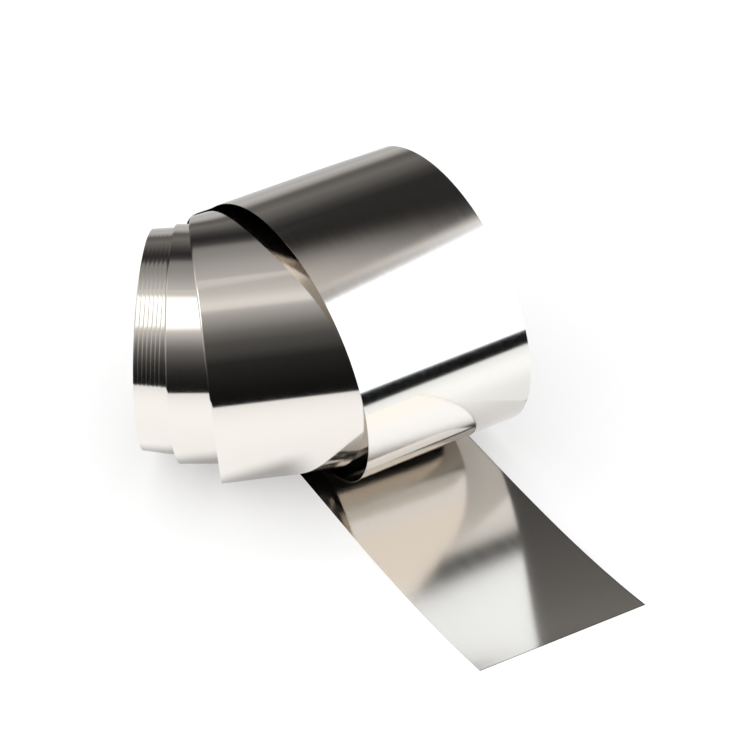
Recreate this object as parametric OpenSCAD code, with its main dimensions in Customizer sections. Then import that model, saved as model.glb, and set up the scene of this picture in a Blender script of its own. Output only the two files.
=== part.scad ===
// Stainless steel foil roll: one long strip of thin foil, wound into a coil that has
// sprung open. The innermost turns are still tight and stand out to the left like a
// telescope. Three loose turns follow, each wider and turned further to the right, and
// the free end of the strip runs out flat over the floor to the front.
// X is to the right, Y to the back and Z up. The floor is Z = 0.

/* [Strip] */
// Width of the strip
strip_w = 100; // [60:1:160]
// Thickness of the foil
strip_t = 0.2; // [0.1:0.05:0.3]

/* [Tight turns] */
// Radius of the bore through the tight turns
bore_r = 60.6; // [45:0.1:90]
// Number of tight turns
pack_turns = 8; // [4:1:12]
// Foil and air that each tight turn takes up
pack_pitch = 0.22; // [0.2:0.01:0.3]
// How far each tight turn stands out to the left of the turn around it
side_step = 2.3; // [0:0.1:3]
// Height of the tight turns above the floor
pack_lift = 9.3; // [8:0.1:14]
// Turn of the bore to the right, seen from above
pack_yaw = -3.6; // [-8:0.1:2]

/* [Third turn] */
// Room between the tight turns and the third turn
third_gap = 3.3; // [2.5:0.1:6]
// Shift to the right of the turn inside it
third_side = 2.8; // [0:0.1:8]
// Shift to the back of the turn inside it
third_back = -0.4; // [-1.5:0.1:1]
// Direction of the turn's axis, seen from above
third_yaw = -1.9; // [-5:0.1:2]
// Slope of the turn's axis, up to the right
third_tilt = 1.7; // [0:0.1:3]
// Height of the turn's low edge above the floor
third_lift = 5; // [3:0.1:6]
// Travel to the right in one full turn
third_drift = 1.9; // [-5:0.1:10]

/* [Second turn] */
// Room between the third turn and the second turn
second_gap = 10.1; // [8:0.1:13]
// Shift to the right of the turn inside it
second_side = 13.9; // [8:0.1:25]
// Shift to the back of the turn inside it
second_back = -2.1; // [-4:0.1:0]
// Direction of the turn's axis, seen from above
second_yaw = 6.7; // [4:0.1:9]
// Slope of the turn's axis, up to the right
second_tilt = 3.6; // [2:0.1:5]
// Height of the turn's low edge above the floor
second_lift = 1; // [0.6:0.1:2]
// Travel to the right in one full turn
second_drift = 2.3; // [-2:0.1:6]

/* [First turn] */
// Room between the second turn and the first turn
first_gap = 6.8; // [6:0.1:12]
// Shift to the right of the turn inside it
first_side = 41.5; // [34:0.1:50]
// Shift to the back of the turn inside it
first_back = 12.8; // [10:0.1:16]
// Direction of the turn's axis, seen from above
first_yaw = 29.6; // [26:0.1:33]
// Slope of the turn's axis, up to the right
first_tilt = 2.9; // [1.5:0.1:4.5]
// Height of the turn's low edge above the floor
first_lift = 0.5; // [0.3:0.1:0.8]
// Travel to the right in one full turn
first_drift = 37.3; // [30:0.1:44]

/* [Sag at the back] */
// How much wider the strip is where it leaves the floor than in the first turn
foot_gap = 13.6; // [10:0.1:17]
// Sag to the back of the first turn's back
foot_sag = 14.9; // [10:0.1:18]
// Sag to the back of the stretch between the first and the second turn
first_sag = 8.7; // [6:0.1:12]
// Twist of the same stretch: its right edge leans out from the roll by this angle
first_flare = 11.8; // [8:0.1:14]
// Distance of the strip's foot from the middle of the first turn, to the right
foot_side = -4.7; // [-8:0.1:-1]
// Distance of the strip's foot from the middle of the first turn, to the back
foot_back = 3.6; // [0:0.1:8]

/* [Free end] */
// Direction of the free end's width, seen from above
tail_yaw = 29.2; // [26:0.1:32]
// Length of the free end, from the foot of the roll to the cut
tail_len = 209.5; // [150:0.5:300]
// Length of the free end that curls up off the floor
curl_len = 172; // [60:1:180]
// Height that the cut end has curled up to
curl_h = 11; // [0:0.5:20]

/* [Hidden] */

// Turn angles are in degrees: 0 is the top of the first turn, and a full turn further
// in is 360 more. A turn keeps its sizes over the stretch that shows, and blends to the
// next turn's sizes on its hidden half. The first, second and third turn and the inner
// end each start to keep their sizes at one of these angles from their own top.
turn = 360;
hold_starts = [-40, 5, -40, -40];
hold_end = 150;
foot_angle = -180;
end_angle = 3 * turn + hold_starts[3];
// Where a stretch sags or twists most: at its middle with a power of 1, and later the
// higher the power
foot_sag_power = 1;
sag_power = 0.8;
flare_power = 2.4;
// Degrees from one cross-section of the strip to the next
step_angle = 4;
// Cross-sections along the curl of the free end
curl_steps = 14;
// Sides that a full circle of the tight turns is drawn with
round_fn = 180;
// The curl's height grows with this power of the distance
curl_power = 3;
// Air between the tight turns and the strip that leaves them
air = 0.05;
// Last degrees of the strip, in which it dives into the tight turns
dive_angle = 8;
// Distance by which the strip's edges stay inside those of the outermost tight turn
edge_inset = 0.3;

// Tight turns
pack_wall = pack_turns * pack_pitch;
pack_r = bore_r + pack_wall;
pack_z = pack_r + pack_lift;
// The outermost tight turn's middle is the plan's origin before the part is centred.

// Sizes of the foot, the first, second and third turn and the strip's inner end, in
// the order in which the strip runs from its free end
end_r = pack_r + air + strip_t / 2;
third_r = end_r + third_gap;
second_r = third_r + second_gap;
first_r = second_r + first_gap;
third_x = third_side;
second_x = third_x + second_side;
first_x = second_x + first_side;
third_y = third_back;
second_y = third_y + second_back;
first_y = second_y + first_back;

radii = [first_r + foot_gap, first_r, second_r, third_r, end_r];
yaws = [tail_yaw, first_yaw, second_yaw, third_yaw, pack_yaw];
tilts = [0, first_tilt, second_tilt, third_tilt, 0];
lifts = [strip_t / 2, first_lift, second_lift, third_lift, pack_z - end_r];
drifts = [0, first_drift, second_drift, third_drift, 0];
sags = [foot_sag, first_sag, 0, 0];
flares = [0, first_flare, 0, 0];
places = [
    [first_x + foot_side, first_y + foot_back],
    [first_x, first_y],
    [second_x, second_y],
    [third_x, third_y],
    [edge_inset, 0]
];

function smooth(t) = t * t * (3 - 2 * t);
function mix(list, i, m) = list[i] * (1 - m) + list[i + 1] * m;
function unit(v) = v / norm(v);
function clamp(t) = min(1, max(0, t));
function bump(t, power) = pow(sin(180 * pow(t, power)), 2);

// Plan position of turn i's axis at an angle: it drifts to the right as the strip winds.
function plan(i, angle) =
    let (own = angle - turn * max(0, i - 1), go = drifts[i] * (own - 90) / turn)
    places[i] + go * [cos(yaws[i]), sin(yaws[i])];

// Cross-section of the roll at a turn angle: the direction across the strip, the
// direction out of its face, and the point of its middle line.
function station(angle) =
    let (
        i = len([for (k = [0 : 2]) if (angle >= hold_starts[k] + turn * k) k]),
        from = i == 0 ? foot_angle : hold_end + turn * (i - 1),
        to = hold_starts[i] + turn * i,
        t = clamp((angle - from) / (to - from)),
        m = smooth(t),
        yaw = mix(yaws, i, m),
        tilt = mix(tilts, i, m),
        sag = sags[i] * bump(t, i == 0 ? foot_sag_power : sag_power),
        flare = flares[i] * bump(t, flare_power),
        r = mix(radii, i, m) + sag,
        axis = [cos(yaw) * cos(tilt), sin(yaw) * cos(tilt), sin(tilt)],
        up = unit([0, 0, 1] - axis * axis.z),
        front = cross(axis, up),
        out = cos(angle) * up + sin(angle) * front,
        flat = plan(i, angle) * (1 - m) + plan(i + 1, angle) * m,
        z = r / cos(tilt) + sin(tilt) * strip_w / 2 + mix(lifts, i, m)
    )
    [
        axis * cos(flare) + out * sin(flare),
        out * cos(flare) - axis * sin(flare),
        [flat.x, flat.y, z] + out * (r - dive(angle))
    ];

// The strip's last few degrees go down into the middle of the tight turns' wall.
dive_depth = pack_wall / 2 + air + strip_t / 2;
function dive(angle) = dive_depth * clamp((angle - end_angle + dive_angle) / dive_angle);

// Four corners of the strip's section at a point of its middle line
function corners(middle, side, out, half) = [
    middle - side * half + out * strip_t / 2,
    middle - side * half - out * strip_t / 2,
    middle + side * half - out * strip_t / 2,
    middle + side * half + out * strip_t / 2
];

// Section of the wound strip: its edges slant where the strip travels sideways.
function turn_section(angle) =
    let (
        s = station(angle),
        way = unit(station(angle + 0.5)[2] - station(angle - 0.5)[2]),
        slant = way * s[0]
    )
    corners(s[2], s[0], s[1], strip_w / 2 / sqrt(1 - slant * slant));

// Section of the free end, at a distance along the floor from the roll's foot
tail_side = [cos(tail_yaw), sin(tail_yaw), 0];
tail_way = [sin(tail_yaw), -cos(tail_yaw), 0];
foot_middle = [places[0].x, places[0].y, strip_t / 2];
curl_start = tail_len - curl_len;
function tail_section(go) =
    let (
        s = max(0, go - curl_start) / curl_len,
        slope = curl_power * curl_h / curl_len * pow(s, curl_power - 1),
        out = unit(tail_way * slope - [0, 0, 1])
    )
    corners(foot_middle + tail_way * go + [0, 0, curl_h * pow(s, curl_power)], tail_side, out, strip_w / 2);

tail_sections = [
    for (i = [curl_steps : -1 : 0]) tail_section(curl_start + curl_len * i / curl_steps)
];
turn_sections = [
    for (angle = [foot_angle : step_angle : end_angle - dive_angle]) turn_section(angle),
    for (angle = [end_angle - dive_angle / 2 : dive_angle / 2 : end_angle]) turn_section(angle)
];
sections = concat(tail_sections, turn_sections);
points = [for (s = sections) each s];

// The part stands with the middle of its box's underside at the origin.
low = [for (k = [0, 1]) min([for (p = points) p[k]])];
high = [for (k = [0, 1]) max([for (p = points) p[k]])];
pack_low_x = -strip_w / 2 - side_step * (pack_turns - 1);
box_low_x = min(low.x, pack_low_x * cos(pack_yaw) - pack_r * abs(sin(pack_yaw)));
centre = [(box_low_x + high.x) / 2, (low.y + high.y) / 2];

// Loose strip: the free end and the three loose turns, one thin band. Each stretch of
// it is split along the same diagonal on both faces, so that a twisted stretch keeps
// its thickness.
module loose_strip() {
    last = len(sections) - 1;
    polyhedron(
        points = points,
        faces = concat(
            [[0, 1, 2, 3]],
            [for (i = [0 : last - 1], k = [0 : 3])
                let (a = 4 * i + k, b = 4 * i + (k + 1) % 4)
                each (k < 2 ? [[a, b + 4, b], [a, a + 4, b + 4]] : [[a, a + 4, b], [b, a + 4, b + 4]])],
            [[4 * last + 3, 4 * last + 2, 4 * last + 1, 4 * last]]
        ),
        convexity = 12
    );
}

// Tight turns: one turned body, whose ends step sideways from turn to turn
module tight_turns() {
    outline = concat(
        [for (i = [0 : pack_turns - 1], e = [0, 1])
            [bore_r + (i + e) * pack_pitch, (i + 1 - pack_turns) * side_step - strip_w / 2]],
        [for (i = [pack_turns - 1 : -1 : 0], e = [1, 0])
            [bore_r + (i + e) * pack_pitch, (i + 1 - pack_turns) * side_step + strip_w / 2]]
    );
    translate([0, 0, pack_z])
    rotate([0, 90, pack_yaw])
    rotate_extrude($fn = round_fn)
    polygon(outline);
}

module foil_strip() {
    color("silver")
    translate([-centre.x, -centre.y, 0]) {
        loose_strip();
        tight_turns();
    }
}

foil_strip();
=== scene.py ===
"""Looks of the stainless steel foil roll: one bright strip of foil, wound into a roll
that has sprung open, with its free end lying flat in front.

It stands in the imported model's frame, in metres, +Z up, with the middle of the box's
underside at the origin. The strip's own sizes are in millimetres and degrees."""

import logging
import math
from dataclasses import dataclass, field
from enum import Enum
from typing import Any, Iterator, Sequence

import bmesh
import bpy
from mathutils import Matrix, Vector

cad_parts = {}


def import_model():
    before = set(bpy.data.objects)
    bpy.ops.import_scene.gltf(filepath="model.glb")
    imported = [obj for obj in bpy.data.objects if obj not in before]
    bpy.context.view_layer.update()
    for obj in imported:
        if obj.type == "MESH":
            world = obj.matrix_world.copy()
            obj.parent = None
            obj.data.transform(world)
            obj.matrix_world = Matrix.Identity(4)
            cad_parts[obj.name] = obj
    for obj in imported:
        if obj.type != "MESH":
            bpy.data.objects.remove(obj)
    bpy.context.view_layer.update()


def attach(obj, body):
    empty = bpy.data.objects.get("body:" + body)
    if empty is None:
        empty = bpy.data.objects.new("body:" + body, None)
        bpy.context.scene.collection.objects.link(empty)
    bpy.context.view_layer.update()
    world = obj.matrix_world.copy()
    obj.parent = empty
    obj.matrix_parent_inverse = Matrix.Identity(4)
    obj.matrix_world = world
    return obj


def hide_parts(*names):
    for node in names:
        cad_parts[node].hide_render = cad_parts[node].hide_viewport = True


LOG = logging.getLogger("foil_roll")
MM = 0.001
FULL_TURN = 360.0
DEGREES = math.degrees(1.0)
UP = Vector((0.0, 0.0, 1.0))
# The middle of a noise, and of the colours by which a normal map leans
LEVEL = 0.5

Span = tuple[float, float]
Triple = tuple[float, float, float]


def smooth(t: float) -> float:
    """Eases t from 0 to 1 with level ends."""
    return t * t * (3.0 - 2.0 * t)


def clamp(t: float) -> float:
    """Keeps t from 0 to 1."""
    return min(1.0, max(0.0, t))


def swell(t: float, power: float) -> float:
    """Rises from 0 to 1 and falls back to 0 as t goes from 0 to 1, later with a higher power."""
    return math.sin(math.pi * t ** power) ** 2


def heading(yaw: float) -> Vector:
    """Level direction at a yaw in degrees, seen from above."""
    return Vector((math.cos(math.radians(yaw)), math.sin(math.radians(yaw)), 0.0))


class Value:
    """A socket's output, on which sums and products add Math nodes."""

    def __init__(self, shader: "Shader", socket: bpy.types.NodeSocket | None) -> None:
        """Keeps the shader that the nodes go into and the output socket."""
        self.shader = shader
        self.socket = socket

    def math(self, operation: str, *others: Any) -> "Value":
        """Adds a Math node.

        Args:
            operation: the node's operation, such as MULTIPLY.
            others: the further inputs, each a number or a Value.

        Returns:
            The node's output.
        """
        inputs = {0: self, **dict(enumerate(others, 1))}
        return self.shader.node("ShaderNodeMath", {"operation": operation}, inputs)

    def __add__(self, other: Any) -> "Value":
        """Sum with a number or a Value."""
        return self.math("ADD", other)

    def __sub__(self, other: Any) -> "Value":
        """Difference with a number or a Value."""
        return self.math("SUBTRACT", other)

    def __mul__(self, other: Any) -> "Value":
        """Product with a number or a Value."""
        return self.math("MULTIPLY", other)

    def __truediv__(self, other: Any) -> "Value":
        """Quotient with a number or a Value."""
        return self.math("DIVIDE", other)

    __radd__ = __add__
    __rmul__ = __mul__

    def __rsub__(self, other: float) -> "Value":
        """A number less this value."""
        return self.shader.node("ShaderNodeMath", {"operation": "SUBTRACT"}, {0: other, 1: self})

    def __neg__(self) -> "Value":
        """This value with its sign changed."""
        return self * -1


class Rays(Enum):
    """Kinds of rays that the studio answers on their own."""

    CAMERA = "Is Camera Ray"
    GLOSSY = "Is Glossy Ray"


class Shader:
    """A node tree of a material or of the world."""

    def __init__(self, owner: Any) -> None:
        """Empties the owner's node tree.

        Args:
            owner: the material or the world.
        """
        owner.use_nodes = True
        self.tree = owner.node_tree
        self.tree.nodes.clear()

    def node(self, kind: str, settings: dict[str, Any] | None = None,
             inputs: dict[Any, Any] | None = None, output: Any = 0) -> Value:
        """Adds any node.

        Args:
            kind: the node's type.
            settings: properties, set first; stops of a ramp are a list of (place, colour).
            inputs: numbers or Values by socket name or number.
            output: name or number of the output that is handed back.

        Returns:
            The named output, without a socket for a node that has no output.
        """
        made = self.tree.nodes.new(kind)
        for name, value in (settings or {}).items():
            if name == "stops":
                self._stops(made.color_ramp, value)
            else:
                setattr(made, name, value)
        for name, value in (inputs or {}).items():
            socket = made.inputs[name]
            if isinstance(value, Value):
                self.tree.links.new(value.socket, socket)
            else:
                socket.default_value = value
        return Value(self, made.outputs[output] if len(made.outputs) else None)

    @staticmethod
    def _stops(ramp: bpy.types.ColorRamp, stops: Sequence[tuple[float, Sequence[float]]]) -> None:
        """Sets a ramp's stops.

        Args:
            ramp: the ramp.
            stops: a place and a colour for each stop.
        """
        while len(ramp.elements) > 1:
            ramp.elements.remove(ramp.elements[-1])
        for index, (place, colour) in enumerate(stops):
            element = ramp.elements[0] if index == 0 else ramp.elements.new(place)
            element.position = place
            element.color = (*colour[:3], 1.0)

    def parts(self, vector: Value) -> list[Value]:
        """The three parts of a vector."""
        split = self.node("ShaderNodeSeparateXYZ", None, {0: vector})
        return [Value(self, split.socket.node.outputs[k]) for k in range(3)]

    def vector(self, operation: str, first: Value, second: Any) -> Value:
        """Vector Math of two vectors, or of a vector and a scale.

        Args:
            operation: the node's operation.
            first: a vector or a colour.
            second: a vector, or the scale for SCALE.

        Returns:
            The result, a number for DOT_PRODUCT and DISTANCE.
        """
        result = "Value" if operation in ("DOT_PRODUCT", "DISTANCE") else "Vector"
        other = "Scale" if operation == "SCALE" else 1
        return self.node("ShaderNodeVectorMath", {"operation": operation}, {0: first, other: second}, result)

    def rise(self, value: Value, low: float, high: float) -> Value:
        """Share that grows smoothly from 0 to 1 as a value goes from low to high."""
        return self.node("ShaderNodeMapRange", {"interpolation_type": "SMOOTHSTEP"},
                         {"Value": value, "From Min": low, "From Max": high})

    def mix(self, share: Value, first: Value, second: Value) -> Value:
        """Mixes two colours by a share of the second."""
        return self.node("ShaderNodeMix", {"data_type": "RGBA"}, {0: share, 6: first, 7: second}, output=2)

    def triple(self, parts: Sequence[Any]) -> Value:
        """A colour or a vector of up to three numbers or Values."""
        return self.node("ShaderNodeCombineXYZ", None, dict(enumerate(parts)))

    def rays(self, kind: Rays) -> Value:
        """1 for rays of a kind and 0 for the others."""
        return self.node("ShaderNodeLightPath", output=kind.value)


@dataclass(frozen=True)
class Turn:
    """Sizes of one turn of the strip.

    Drift is how far the turn travels along its own axis. Sag and flare are how far the
    strip stands off and opens to one side on its way to the next turn."""

    radius: float
    yaw: float
    place: Span
    lift: float
    tilt: float = 0.0
    drift: float = 0.0
    sag: float = 0.0
    flare: float = 0.0

    def axis_place(self, own_angle: float) -> Vector:
        """Plan position of the turn's axis, which drifts along it as the strip winds."""
        front = FULL_TURN / 4
        return Vector((*self.place, 0.0)) + heading(self.yaw) * self.drift * (own_angle - front) / FULL_TURN


@dataclass(frozen=True)
class Section:
    """A straight line across the strip: its middle, its direction and half its length."""

    middle: Vector
    side: Vector
    half: float


@dataclass
class StripRoute:
    """The way that the strip takes, from its free end to its inner end.

    Turn angles start at the top of the first turn and grow by a full turn per turn. A
    loose turn holds its own sizes from its hold start to the hold end, and then passes
    into the next one on the back of the roll. Each tight turn lies a tight pitch further
    in than the one before, and a side step further to the left. Sprung open is how much
    larger the radius of the third, second and first turn is than that of the tight ones.
    The strip's direction at a section is taken from a glance to each side of it."""

    width: float = 100.0
    thickness: float = 0.2
    bore_radius: float = 60.6
    tight_turns: int = 8
    tight_pitch: float = 0.22
    side_step: float = 2.3
    tight_lift: float = 9.3
    air: float = 0.05
    edge_inset: float = 0.3
    sprung_open: Triple = (3.3, 13.4, 20.2)
    foot_opens: float = 13.6
    hold_starts: tuple[float, ...] = (-40.0, 5.0, -40.0, -40.0)
    hold_end: float = 150.0
    foot_angle: float = -180.0
    foot_sag_power: float = 1.0
    sag_power: float = 0.8
    flare_power: float = 2.4
    loose_step: float = 2.0
    tight_step: float = 3.0
    glance: float = 0.5
    tail_length: float = 209.5
    curl_length: float = 172.0
    curl_height: float = 11.0
    curl_power: float = 3.0
    curl_steps: int = 40

    def turns(self) -> list[Turn]:
        """Sizes of the turns, from the free end inwards.

        Returns:
            The foot, the first, second and third turn, and the start of the tight ones.
        """
        wall = self.tight_turns * self.tight_pitch
        end = self.bore_radius + wall + self.air + self.thickness / 2
        tight_middle = self.bore_radius + wall + self.tight_lift
        third, second, first = (end + room for room in self.sprung_open)
        return [
            Turn(first + self.foot_opens, 29.2, (53.5, 13.9), self.thickness / 2, sag=14.9),
            Turn(first, 29.6, (58.2, 10.3), 0.5, tilt=2.9, drift=37.3, sag=8.7, flare=11.8),
            Turn(second, 6.7, (16.7, -2.5), 1.0, tilt=3.6, drift=2.3),
            Turn(third, -1.9, (2.8, -0.4), 5.0, tilt=1.7, drift=1.9),
            Turn(end, -3.6, (self.edge_inset, 0.0), tight_middle - end),
        ]

    @property
    def end_angle(self) -> float:
        """Turn angle at which the tight turns start."""
        return len(self.sprung_open) * FULL_TURN + self.hold_starts[-1]

    def loose(self, angle: float) -> tuple[Vector, Vector]:
        """Section of the loose turns.

        Args:
            angle: the turn angle.

        Returns:
            The direction across the strip and its middle.
        """
        turns = self.turns()
        i = sum(angle >= start + FULL_TURN * k for k, start in enumerate(self.hold_starts[:-1]))
        start = self.foot_angle if i == 0 else self.hold_end + FULL_TURN * (i - 1)
        t = clamp((angle - start) / (self.hold_starts[i] + FULL_TURN * i - start))
        m = smooth(t)
        a, b = turns[i], turns[i + 1]
        yaw, tilt = (math.radians(p * (1 - m) + q * m) for p, q in ((a.yaw, b.yaw), (a.tilt, b.tilt)))
        sag = a.sag * swell(t, self.foot_sag_power if i == 0 else self.sag_power)
        flare = math.radians(a.flare * swell(t, self.flare_power))
        r = a.radius * (1 - m) + b.radius * m + sag
        axis = Vector((math.cos(yaw) * math.cos(tilt), math.sin(yaw) * math.cos(tilt), math.sin(tilt)))
        up = (UP - axis * axis.z).normalized()
        turned = math.radians(angle)
        out = math.cos(turned) * up + math.sin(turned) * axis.cross(up)
        own = angle - FULL_TURN * max(0, i - 1)
        flat = a.axis_place(own) * (1 - m) + b.axis_place(angle - FULL_TURN * i) * m
        flat.z = r / math.cos(tilt) + math.sin(tilt) * self.width / 2 + a.lift * (1 - m) + b.lift * m
        return axis * math.cos(flare) + out * math.sin(flare), flat + out * r

    def tight(self, angle: float) -> tuple[Vector, Vector]:
        """Section of the tight turns, which step aside and inwards.

        Args:
            angle: the turn angle.

        Returns:
            The direction across the strip and its middle.
        """
        first = self.turns()[-1]
        done = (angle - self.end_angle) / FULL_TURN
        axis = heading(first.yaw)
        out = math.cos(math.radians(angle)) * UP + math.sin(math.radians(angle)) * axis.cross(UP)
        middle = Vector((0.0, 0.0, first.lift + first.radius))
        middle += axis * (self.edge_inset - self.side_step * done)
        return axis, middle + out * (first.radius - self.tight_pitch * done)

    def wound(self, angle: float) -> Section:
        """The strip's section on the roll, whose edges slant where it travels sideways.

        Args:
            angle: the turn angle.

        Returns:
            The section.
        """
        rule = self.loose if angle <= self.end_angle else self.tight
        side, middle = rule(angle)
        way = (rule(angle + self.glance)[1] - rule(angle - self.glance)[1]).normalized()
        slant = way.dot(side)
        return Section(middle, side, self.width / 2 / math.sqrt(1 - slant * slant))

    def free_end(self, along: float) -> Section:
        """The free end's section, which curls up towards the cut.

        Args:
            along: distance over the floor from the roll's foot.

        Returns:
            The section.
        """
        foot = self.turns()[0]
        side, way = heading(foot.yaw), heading(foot.yaw - FULL_TURN / 4)
        curled = max(0.0, along - self.tail_length + self.curl_length) / self.curl_length
        middle = Vector((*foot.place, self.thickness / 2)) + way * along
        middle.z += self.curl_height * curled ** self.curl_power
        return Section(middle, side, self.width / 2)

    def sections(self) -> Iterator[Section]:
        """Every section of the strip.

        Returns:
            The sections in order, from the cut free end to the inner end.
        """
        flat = self.tail_length - self.curl_length
        for i in range(self.curl_steps, 0, -1):
            yield self.free_end(flat + self.curl_length * i / self.curl_steps)
        yield self.free_end(flat)
        yield self.free_end(flat / 2)
        for i in range(round((self.end_angle - self.foot_angle) / self.loose_step)):
            yield self.wound(self.foot_angle + i * self.loose_step)
        for i in range(round((self.tight_turns - 1) * FULL_TURN / self.tight_step) + 1):
            yield self.wound(self.end_angle + i * self.tight_step)


@dataclass(frozen=True)
class BrightFoil:
    """Bright rolled stainless steel: a mirror with fine rolling lines and a slightly curled left edge.

    Lengths are in millimetres, along the strip from its cut free end and across it from
    its left edge. The rolling lines spread reflections across the strip. Along the strip
    the edge's curl starts with the loose turns and eases on the tight ones."""

    width: float
    name: str = "bright_foil"
    tint: Triple = (0.69, 0.66, 0.622)
    roughness: float = 0.085
    line_length: float = 60.0
    line_pitch: float = 0.16
    line_slope: float = 0.006
    band_length: float = 250.0
    band_pitch: float = 3.0
    band_roughness: float = 0.03
    streak_detail: float = 2.0
    streak_grain: float = 0.6
    edge_width: float = 1.2
    edge_drop: float = 0.16
    curl_start: Span = (850.0, 950.0)
    curl_ease: Span = (1800.0, 1900.0)
    eased: float = 0.55
    twist_length: float = 172.0
    twist: float = 2.5
    free_end: Span = (300.0, 200.0)
    free_end_roughness: float = 0.035
    cut_edge: Span = (0.4, 0.9)
    cut_shade: float = 0.45

    def _streaks(self, shader: Shader, along: Value, across: Value, length: float, pitch: float) -> Value:
        """Noise drawn out along the strip.

        Args:
            shader: the material's node tree.
            along: metres along the strip.
            across: metres across the strip.
            length: a streak's length.
            pitch: a streak's width.

        Returns:
            The noise, from 0 to 1.
        """
        place = shader.triple((along / (length * MM), across / (pitch * MM)))
        return shader.node("ShaderNodeTexNoise", {"noise_dimensions": "2D"}, {
            "Vector": place, "Scale": 1.0, "Detail": self.streak_detail, "Roughness": self.streak_grain})

    def _normal(self, shader: Shader, along: Value, across: Value) -> Value:
        """Rolling lines, the left edge's curl and the slight twist of the free end.

        Args:
            shader: the material's node tree.
            along: metres along the strip.
            across: metres across the strip.

        Returns:
            The normal.
        """
        lines = self._streaks(shader, along, across, self.line_length, self.line_pitch)
        lean = shader.triple((LEVEL, (lines - LEVEL) * self.line_slope + LEVEL, 1.0))
        lined = shader.node("ShaderNodeNormalMap", {"uv_map": "strip"}, {"Color": lean, "Strength": 1.0})
        curl = (1 - across / (self.edge_width * MM)).math("MAXIMUM", 0.0)
        start, ease = (shader.rise(along, *(place * MM for place in places))
                       for places in (self.curl_start, self.curl_ease))
        depth = (start - ease * self.eased) * (-self.edge_drop * MM)
        out = (1 - along / (self.twist_length * MM)).math("MAXIMUM", 0.0)
        off_middle = self.width / 2 * MM - across
        lean_over = off_middle * out * out * out * math.tan(math.radians(self.twist))
        return shader.node("ShaderNodeBump", None, {
            "Strength": 1.0, "Distance": 1.0, "Height": curl * curl * depth + lean_over, "Normal": lined})

    def material(self) -> bpy.types.Material:
        """Builds the finish.

        Returns:
            The material.
        """
        made = bpy.data.materials.new(self.name)
        shader = Shader(made)
        along, across = shader.parts(shader.node("ShaderNodeUVMap", {"uv_map": "strip"}))[:2]
        bands = self._streaks(shader, along, across, self.band_length, self.band_pitch)
        # Share that is 1 near the free end and 0 from 300 mm along: the foil is rougher there, and this
        # share keeps the painted edge shade to the free end
        near_free_end = shader.rise(along, *(place * MM for place in self.free_end))
        low, high = self.cut_edge
        right_edge = shader.rise(across, (self.width - high) * MM, (self.width - low) * MM)
        inside = shader.rise(along, low * MM, high * MM) * (1 - right_edge)
        # Painted shade: the base colour is darkened towards black in a thin band along the free end's cut
        # end and right edge
        painted_edge_shade = (1 - inside) * near_free_end * self.cut_shade
        surface = shader.node("ShaderNodeBsdfPrincipled", None, {
            "Base Color": shader.mix(painted_edge_shade, shader.triple(self.tint), shader.triple((0.0, 0.0, 0.0))),
            "Metallic": 1.0,
            "Normal": self._normal(shader, along, across),
            "Roughness": ((bands - LEVEL) * self.band_roughness + near_free_end * self.free_end_roughness
                          + self.roughness)})
        shader.node("ShaderNodeOutputMaterial", None, {"Surface": surface})
        return made


@dataclass
class FoilStrip:
    """The whole strip, as one thin band. Faces that meet at more than the sharp angle keep a crisp edge."""

    name: str = "foil_strip_bright"
    route: StripRoute = field(default_factory=StripRoute)
    across: int = 8
    sharp: float = 30.0

    def _lay(self, bm: bmesh.types.BMesh) -> float:
        """Makes a flat grid, notes on it how far each point is along and across, and winds it.

        Args:
            bm: an empty mesh.

        Returns:
            The strip's length in millimetres.
        """
        sections = list(self.route.sections())
        last = len(sections) - 1
        bmesh.ops.create_grid(bm, x_segments=last, y_segments=self.across, size=0.5)
        travelled = [0.0]
        for a, b in zip(sections, sections[1:]):
            travelled.append(travelled[-1] + (b.middle - a.middle).length)
        uv = bm.loops.layers.uv.new("strip")
        places = {v: (round((v.co.x + 0.5) * last), v.co.y) for v in bm.verts}
        for face in bm.faces:
            for loop in face.loops:
                i, across = places[loop.vert]
                loop[uv].uv = (travelled[i] * MM, (across + 0.5) * self.route.width * MM)
        for vert, (i, across) in places.items():
            section = sections[i]
            vert.co = (section.middle + section.side * (2 * section.half * across)) * MM
        return travelled[-1]

    def _centre(self, bm: bmesh.types.BMesh) -> None:
        """Brings the middle of the strip's plan to the origin.

        Args:
            bm: the strip.
        """
        low, high = (Vector([pick(v.co[k] for v in bm.verts) for k in range(3)]) for pick in (min, max))
        middle = Vector(((low.x + high.x) / 2, (low.y + high.y) / 2, 0.0))
        bmesh.ops.translate(bm, verts=bm.verts, vec=-middle)

    def build(self) -> bpy.types.Object:
        """Builds the strip.

        Returns:
            The strip's object, at the origin, with its place in its mesh.
        """
        bm = bmesh.new()
        length = self._lay(bm)
        self._centre(bm)
        bm.normal_update()
        LOG.info("strip %.2f m long", length * MM)
        bmesh.ops.solidify(bm, geom=bm.faces[:], thickness=self.route.thickness * MM)
        for edge in bm.edges:
            edge.smooth = edge.calc_face_angle(0.0) < math.radians(self.sharp)
        for face in bm.faces:
            face.smooth = True
        mesh = bpy.data.meshes.new(self.name)
        bm.to_mesh(mesh)
        bm.free()
        mesh.materials.append(BrightFoil(self.route.width).material())
        strip = bpy.data.objects.new(self.name, mesh)
        bpy.context.scene.collection.objects.link(strip)
        return strip


def bearing(turned: float, height: float) -> Vector:
    """Direction in the studio.

    Args:
        turned: degrees clockwise from the back.
        height: degrees above the horizon.

    Returns:
        The direction.
    """
    level = math.cos(math.radians(height))
    return Vector((math.sin(math.radians(turned)) * level, math.cos(math.radians(turned)) * level,
                   math.sin(math.radians(height))))


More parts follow.
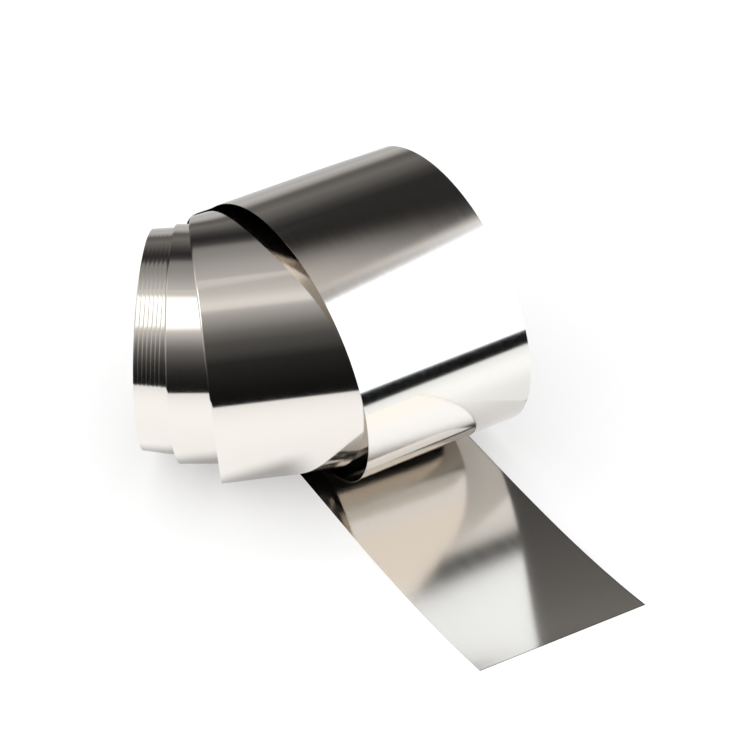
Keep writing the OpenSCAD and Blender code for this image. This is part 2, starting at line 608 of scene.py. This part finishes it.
@dataclass(frozen=True)
class Ramp:
    """Light by an angle in degrees, as stops of an angle and a brightness."""

    stops: tuple[tuple[float, float], ...]
    low: float = -90.0
    high: float = 90.0
    tint: Triple = (1.0, 0.975, 0.945)

    def light(self, shader: Shader, angle: Value) -> Value:
        """Adds the ramp.

        Args:
            shader: the world's node tree.
            angle: degrees.

        Returns:
            The colour of the light.
        """
        top = max(level for _, level in self.stops)
        span = self.high - self.low
        stops = [((degrees - self.low) / span, [level / top * part for part in self.tint])
                 for degrees, level in self.stops]
        ramp = shader.node("ShaderNodeValToRGB", {"stops": stops}, {"Fac": (angle - self.low) / span})
        return shader.vector("SCALE", ramp, top)


@dataclass(frozen=True)
class Edge:
    """Straight edge of a panel: the plane through the roll and the edge, which faces the panel.

    The panel's light grows from none to all between two angles past that plane, in degrees."""

    facing: Triple
    low: float = -1.0
    high: float = 0.0

    def past(self, shader: Shader, way: Value) -> Value:
        """Sine of the angle by which a direction is past the plane."""
        return shader.vector("DOT_PRODUCT", way, Vector(self.facing).normalized())

    def share(self, shader: Shader, way: Value) -> Value:
        """Share of the panel's light in a direction, from 0 to 1."""
        low, high = (math.sin(math.radians(angle)) for angle in (self.low, self.high))
        return shader.rise(self.past(shader, way), low, high)


class Direction:
    """The direction that a ray takes to the world, with its parts and its angles in degrees."""

    def __init__(self, shader: Shader) -> None:
        """Adds the direction's nodes.

        Args:
            shader: the world's node tree.
        """
        self.way = shader.node("ShaderNodeTexCoord", output="Generated")
        self.x, self.y, self.z = shader.parts(self.way)
        self.height = self.z.math("ARCSINE") * DEGREES
        self.turned = self.x.math("ARCTAN2", self.y) * DEGREES


@dataclass
class StudioLight:
    """White panels, grey walls and dark gaps all round the roll, which bright foil shows.

    Heights are degrees above the horizon and turned is degrees clockwise from the back.
    Only glossy rays see them: the rest of the light is soft and plain, a little stronger
    from the key's side, and the camera sees a plain white."""

    level: float = 1.05
    metal_gain: float = 1.16
    key_way: Triple = (-0.6, -0.65, 0.45)
    key_share: float = 0.8
    wall_change: Span = (30.0, 95.0)
    back_wall: Ramp = Ramp((
        (-30, 0.95), (-14, 0.68), (-3, 0.56), (1, 0.49), (5, 0.42), (8, 0.31), (11, 0.17),
        (14.5, 0.12), (19, 0.15), (24.5, 0.18), (29, 0.145), (34, 0.11), (39, 0.065), (44, 0.04),
        (47.5, 0.026), (51, 0.035), (55, 0.075), (58.5, 0.24), (62, 0.28), (68, 0.32), (76, 0.41),
        (82, 0.47), (90, 0.52)))
    front_wall: Ramp = Ramp((
        (-15, 0.003), (-4, 0.004), (4, 0.008), (12, 0.0125), (20, 0.019), (28, 0.060), (36, 0.083),
        (44, 0.165), (51.6, 0.31), (59, 0.46), (61.5, 0.54), (64, 0.82), (68, 0.86), (72, 0.74),
        (76, 0.63), (84, 0.54), (90, 0.52)))
    gap: Ramp = Ramp((
        (-4.2, 0.58), (-3.3, 0.46), (-2.6, 0.36), (-1.8, 0.26), (-1.0, 0.17), (-0.2, 0.09),
        (0.5, 0.045), (1.5, 0.026), (3.0, 0.022), (6.0, 0.028)), tint=(1.0, 0.96, 0.92))
    gap_edge: Edge = Edge((1.208, 1.0, -0.589))
    gap_end: Edge = Edge((0.867, 0.197, -0.458), -4.4, -1.6)
    gap_lean: Span = (-0.02, 0.03)
    gap_lowest: float = 0.05
    gap_foot: Span = (45.0, 49.0)
    gap_front: Span = (-0.2, -0.12)
    softbox: Ramp = Ramp((
        (0, 1.8), (14, 1.8), (16.5, 1.3), (18.5, 0.76), (20, 0.64), (23, 0.54), (27, 0.38),
        (32, 0.24), (37, 0.15), (41, 0.11), (46, 0.073), (51, 0.042), (55, 0.026), (60, 0.016),
        (65, 0.010), (90, 0.0)))
    softbox_way: Vector = field(default_factory=lambda: bearing(-143.0, 61.0))
    softbox_sides: tuple[Span, ...] = ((0.03, 0.10), (0.31, 0.27))
    side_lamps: Ramp = Ramp((
        (-14, 0.0), (-7, 0.03), (0, 0.06), (12, 0.13), (25, 0.34), (38, 0.6), (46, 0.7)))
    side_lamps_front: Span = (-166.0, -156.0)
    side_lamps_back: Span = (92.0, 98.0)
    panel_foot_light: Triple = (1.62, 1.76, 1.92)
    panel_light: Triple = (1.9, 1.9, 1.9)
    panel_top_light: Triple = (1.8, 1.9, 2.08)
    panel_body: Span = (10.0, 30.0)
    panel_top: Span = (45.0, 53.0)
    panel_edges: tuple[Edge, ...] = (
        Edge((1.892, 0.743, -1.0), -1.4, -0.1),
        Edge((0.682, 0.731, 0.0), -1.5),
        Edge((0.559, -0.829, 0.0), -4.0))
    panel_foot: float = -12.4
    panel_foot_blur: float = 0.6
    ground: Ramp = Ramp((
        (-90, 0.95), (-65, 0.96), (-50, 1.08), (-40, 1.25), (-33, 1.27), (-29, 1.19), (-23.8, 1.05),
        (-22.6, 0.004), (0, 0.004)), tint=(0.955, 0.985, 1.0))
    ground_side: Span = (58.0, 62.0)
    ground_horizon: Span = (-0.5, -1.0)
    ground_blur: float = 0.1

    def _walls(self, shader: Shader, ray: Direction) -> Value:
        """The wall at the back and the one in front, which pass into each other at the sides.

        Args:
            shader: the world's node tree.
            ray: the ray's direction.

        Returns:
            The light.
        """
        in_front = shader.rise(ray.turned.math("ABSOLUTE"), *self.wall_change)
        return shader.mix(in_front, self.back_wall.light(shader, ray.height),
                          self.front_wall.light(shader, ray.height))

    def _gap(self, shader: Shader, ray: Direction, seen: Value) -> Value:
        """The dark gap high over the roll, along the white panel's upper edge.

        Args:
            shader: the world's node tree.
            ray: the ray's direction.
            seen: the light so far.

        Returns:
            The light.
        """
        lean = ray.x / ray.z.math("MAXIMUM", self.gap_lowest)
        in_gap = (shader.rise(lean, *self.gap_lean) * shader.rise(ray.height, *self.gap_foot)
                  * shader.rise(ray.y, *self.gap_front) * (1 - self.gap_end.share(shader, ray.way)))
        off_edge = self.gap_edge.past(shader, ray.way).math("ARCSINE") * DEGREES
        return shader.mix(in_gap, seen, self.gap.light(shader, off_edge))

    def _lamps(self, shader: Shader, ray: Direction, seen: Value) -> Value:
        """The softbox over the front left and the lamps along the left side.

        Args:
            shader: the world's node tree.
            ray: the ray's direction.
            seen: the light so far.

        Returns:
            The light.
        """
        off_softbox = shader.vector("DOT_PRODUCT", ray.way, self.softbox_way).math("ARCCOSINE") * DEGREES
        in_softbox = math.prod((shader.rise(-ray.x, *side) for side in self.softbox_sides), start=1.0)
        in_lamps = (shader.rise(ray.turned, *self.side_lamps_front)
                    * shader.rise(-ray.turned, *self.side_lamps_back))
        for light, share in ((self.softbox.light(shader, off_softbox), in_softbox),
                             (self.side_lamps.light(shader, ray.height), in_lamps)):
            seen = shader.vector("MAXIMUM", seen, shader.vector("SCALE", light, share))
        return seen

    def _panel(self, shader: Shader, ray: Direction, seen: Value) -> Value:
        """The white panel at the right, cooler and dimmer at its foot and cooler at its top.

        Args:
            shader: the world's node tree.
            ray: the ray's direction.
            seen: the light so far.

        Returns:
            The light.
        """
        low, high = self.panel_foot - self.panel_foot_blur, self.panel_foot + self.panel_foot_blur
        on_panel = math.prod((edge.share(shader, ray.way) for edge in self.panel_edges),
                             start=shader.rise(ray.height, low, high))
        foot, body, top = (shader.triple(light) for light in (
            self.panel_foot_light, self.panel_light, self.panel_top_light))
        lower = shader.mix(shader.rise(ray.height, *self.panel_body), foot, body)
        return shader.mix(on_panel, seen, shader.mix(shader.rise(ray.height, *self.panel_top), lower, top))

    def _ground(self, shader: Shader, ray: Direction, seen: Value) -> Value:
        """The ground at the right, below the panel's foot, in place of the floor there.

        Args:
            shader: the world's node tree.
            ray: the ray's direction.
            seen: the light so far.

        Returns:
            The light.
        """
        aside = shader.rise(ray.turned, *self.ground_side) * shader.rise(ray.height, *self.ground_horizon)
        under_panel = shader.rise(self.panel_foot - self.panel_foot_blur - ray.height,
                                  -self.ground_blur, self.ground_blur)
        return shader.mix(aside * under_panel, seen, self.ground.light(shader, ray.height))

    def build(self) -> None:
        """Builds the world."""
        world = bpy.data.worlds.new("studio")
        bpy.context.scene.world = world
        shader = Shader(world)
        ray = Direction(shader)
        seen = self._walls(shader, ray)
        for add in (self._gap, self._lamps, self._panel, self._ground):
            seen = add(shader, ray, seen)
        # The share is set so that a level face gets as much light as without the key
        key_on_level_face = self.key_share * self.key_way[2] * 2 / 3
        soft = (shader.vector("DOT_PRODUCT", ray.way, self.key_way) * self.key_share + 1) * (
            self.level / (1 + key_on_level_face))
        glossy = shader.rays(Rays.GLOSSY)
        surface = shader.node("ShaderNodeBackground", None, {
            "Color": shader.mix(shader.rays(Rays.CAMERA),
                                shader.mix(glossy, shader.triple([soft] * 3), seen),
                                shader.triple([self.level] * 3)),
            "Strength": glossy * (self.metal_gain - 1) + 1})
        shader.node("ShaderNodeOutputWorld", None, {"Surface": surface})


@dataclass(frozen=True)
class WhitePaper:
    """The floor's white paper, in metres, which glows a little in the picture and in the metal.

    In the picture it glows most in front of the roll, where its shadow is lightest. In the
    metal it is dimmer far behind the roll, at the crease where the free end leaves the
    roll, and in the shade under the tight turns."""

    level: float
    name: str = "paper"
    white: float = 0.97
    camera_glow: float = 1.2
    backdrop_glow: float = 0.3
    fore_glow: float = 0.55
    fore: Span = (0.05, 0.13)
    floor_glow: float = 0.5
    near_light: float = 1.2
    middle_light: float = 0.42
    middle: Span = (-0.42, -0.1)
    far: Span = (0.1, 0.9)
    far_shade: float = 0.75
    crease: Triple = (0.07, 0.03, 0.0)
    crease_light: float = 0.6
    off_crease: Span = (0.02, 0.1)
    shade_slant: float = 0.5
    shade_place: float = 0.1
    shade_front: Span = (-0.028, 0.004)
    shade_right: Span = (0.03, 0.055)
    shade: float = 0.75

    def material(self) -> bpy.types.Material:
        """Builds the paper.

        Returns:
            The material.
        """
        made = bpy.data.materials.new(self.name)
        shader = Shader(made)
        paper = shader.node("ShaderNodeBsdfDiffuse", None, {"Color": (*[self.white] * 3, 1.0)})
        place = shader.node("ShaderNodeTexCoord", output="Object")
        x, y, _ = shader.parts(place)
        from_crease = shader.vector("DISTANCE", place, self.crease)
        under_roll = (shader.rise(y + (x + self.shade_place) * self.shade_slant, *self.shade_front)
                      * shader.rise(-x, *self.shade_right))
        reflected = self.near_light + shader.rise(y, *self.middle) * self.middle_light
        reflected = reflected * (1 - shader.rise(y, *self.far) * self.far_shade)
        reflected = reflected * (
            self.crease_light + shader.rise(from_crease, *self.off_crease) * (1 - self.crease_light))
        reflected = reflected * (1 - under_roll * self.shade)
        camera, glossy = shader.rays(Rays.CAMERA), shader.rays(Rays.GLOSSY)
        glow = shader.node("ShaderNodeEmission", None, {
            "Color": (1.0, 1.0, 1.0, 1.0),
            "Strength": (camera * self.camera_glow + glossy * reflected) * self.level})
        glowing = (camera * (shader.rise(-y, *self.fore) * self.fore_glow + self.backdrop_glow)
                   + glossy * self.floor_glow)
        surface = shader.node("ShaderNodeMixShader", None, {0: glowing, 1: paper, 2: glow})
        shader.node("ShaderNodeOutputMaterial", None, {"Surface": surface})
        return made


@dataclass
class Floor:
    """Plain pale floor, in metres, whose near edges end outside the picture.

    The metal sees the world's ground in place of the side floor, which is hidden from it."""

    level: float
    drop: float = 0.0002
    outline: tuple[Span, ...] = (
        (-3.0, -0.45), (-0.20, -0.45), (-0.13, -0.46), (-0.09, -0.36), (0.06, -0.36),
        (0.10, -0.20), (0.10, 0.10), (3.0, 0.10), (3.0, 3.0), (-3.0, 3.0))
    side_outline: tuple[Span, ...] = (
        (0.10, -0.20), (0.06, -0.36), (3.0, -0.36), (3.0, 0.10), (0.10, 0.10))

    def build(self) -> None:
        """Lays both parts of the floor."""
        material = WhitePaper(self.level).material()
        for name, outline, in_metal in (
                ("floor", self.outline, True), ("side_floor", self.side_outline, False)):
            bm = bmesh.new()
            bm.faces.new([bm.verts.new((x, y, -self.drop)) for x, y in outline])
            mesh = bpy.data.meshes.new(name)
            bm.to_mesh(mesh)
            bm.free()
            mesh.materials.append(material)
            floor = bpy.data.objects.new(name, mesh)
            floor.visible_glossy = in_metal
            bpy.context.scene.collection.objects.link(floor)


@dataclass
class PhotoCamera:
    """The camera at the photograph's viewing angle. The focal length is in pixels of the photograph."""

    pitch: float = 37.02
    focal: float = 2429.0
    photo_side: int = 730
    distance: float = 1437.4
    aim: Triple = (-11.11, 113.34, 0.0)
    sensor: float = 36.0
    farthest: float = 50.0

    def build(self) -> None:
        """Sets the camera up."""
        data = bpy.data.cameras.new("camera")
        data.sensor_width = self.sensor
        data.lens = self.focal / self.photo_side * self.sensor
        data.clip_end = self.farthest
        camera = bpy.data.objects.new("camera", data)
        angle = math.radians(self.pitch)
        back = Vector((0.0, -math.cos(angle), math.sin(angle)))
        camera.location = (Vector(self.aim) + back * self.distance) * MM
        camera.rotation_euler = (math.pi / 2 - angle, 0.0, 0.0)
        bpy.context.scene.collection.objects.link(camera)
        bpy.context.scene.camera = camera


def main() -> None:
    """Builds the roll, reports it and sets the studio round it."""
    logging.basicConfig(level=logging.INFO, format="%(name)s: %(message)s")
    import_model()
    strip = FoilStrip().build()
    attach(strip, "root")
    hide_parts("foil_strip")
    LOG.info("%s: %d faces", strip.name, len(strip.data.polygons))
    light = StudioLight()
    light.build()
    Floor(light.level).build()
    PhotoCamera().build()
    bpy.context.scene.view_settings.view_transform = "Standard"


if __name__ == "__main__":
    main()
